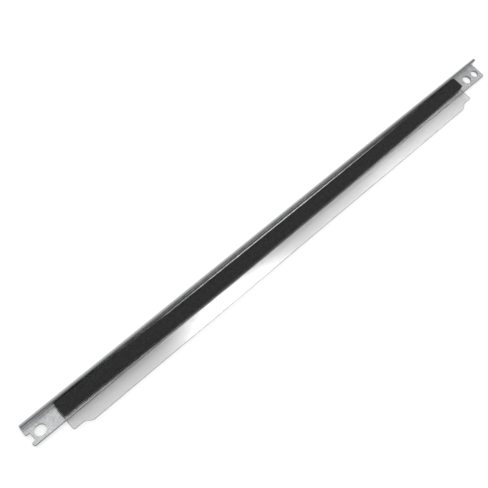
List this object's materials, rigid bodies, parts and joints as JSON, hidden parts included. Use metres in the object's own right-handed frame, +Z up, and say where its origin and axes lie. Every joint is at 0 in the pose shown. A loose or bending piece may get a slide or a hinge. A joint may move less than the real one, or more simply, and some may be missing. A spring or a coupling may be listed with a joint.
{
  "type": "doctor blade",
  "caption": "Long bent steel bracket carrying a clear blade film and a black foam seal strip, with fixing holes, a slot and an open notch at its ends.",
  "frame": {"origin": "middle of the bracket's underside, half way along its length and half way across its depth", "axes": "+X along the blade towards the end with two holes, +Y from the blade's free edge towards the flange, +Z up"},
  "size_m": [0.25, 0.0144, 0.0048],
  "materials": {
    "zinc_plated_steel": "zinc-plated sheet with fine rolling streaks, satin",
    "clear_film": "clear polyester film, glossy",
    "black_foam": "open-cell polyurethane foam, matt, fine pores"
  },
  "bodies": {
    "root": {"bracket": "zinc_plated_steel", "blade_film": "clear_film", "foam_strip": "black_foam"}
  },
  "joints": []
}
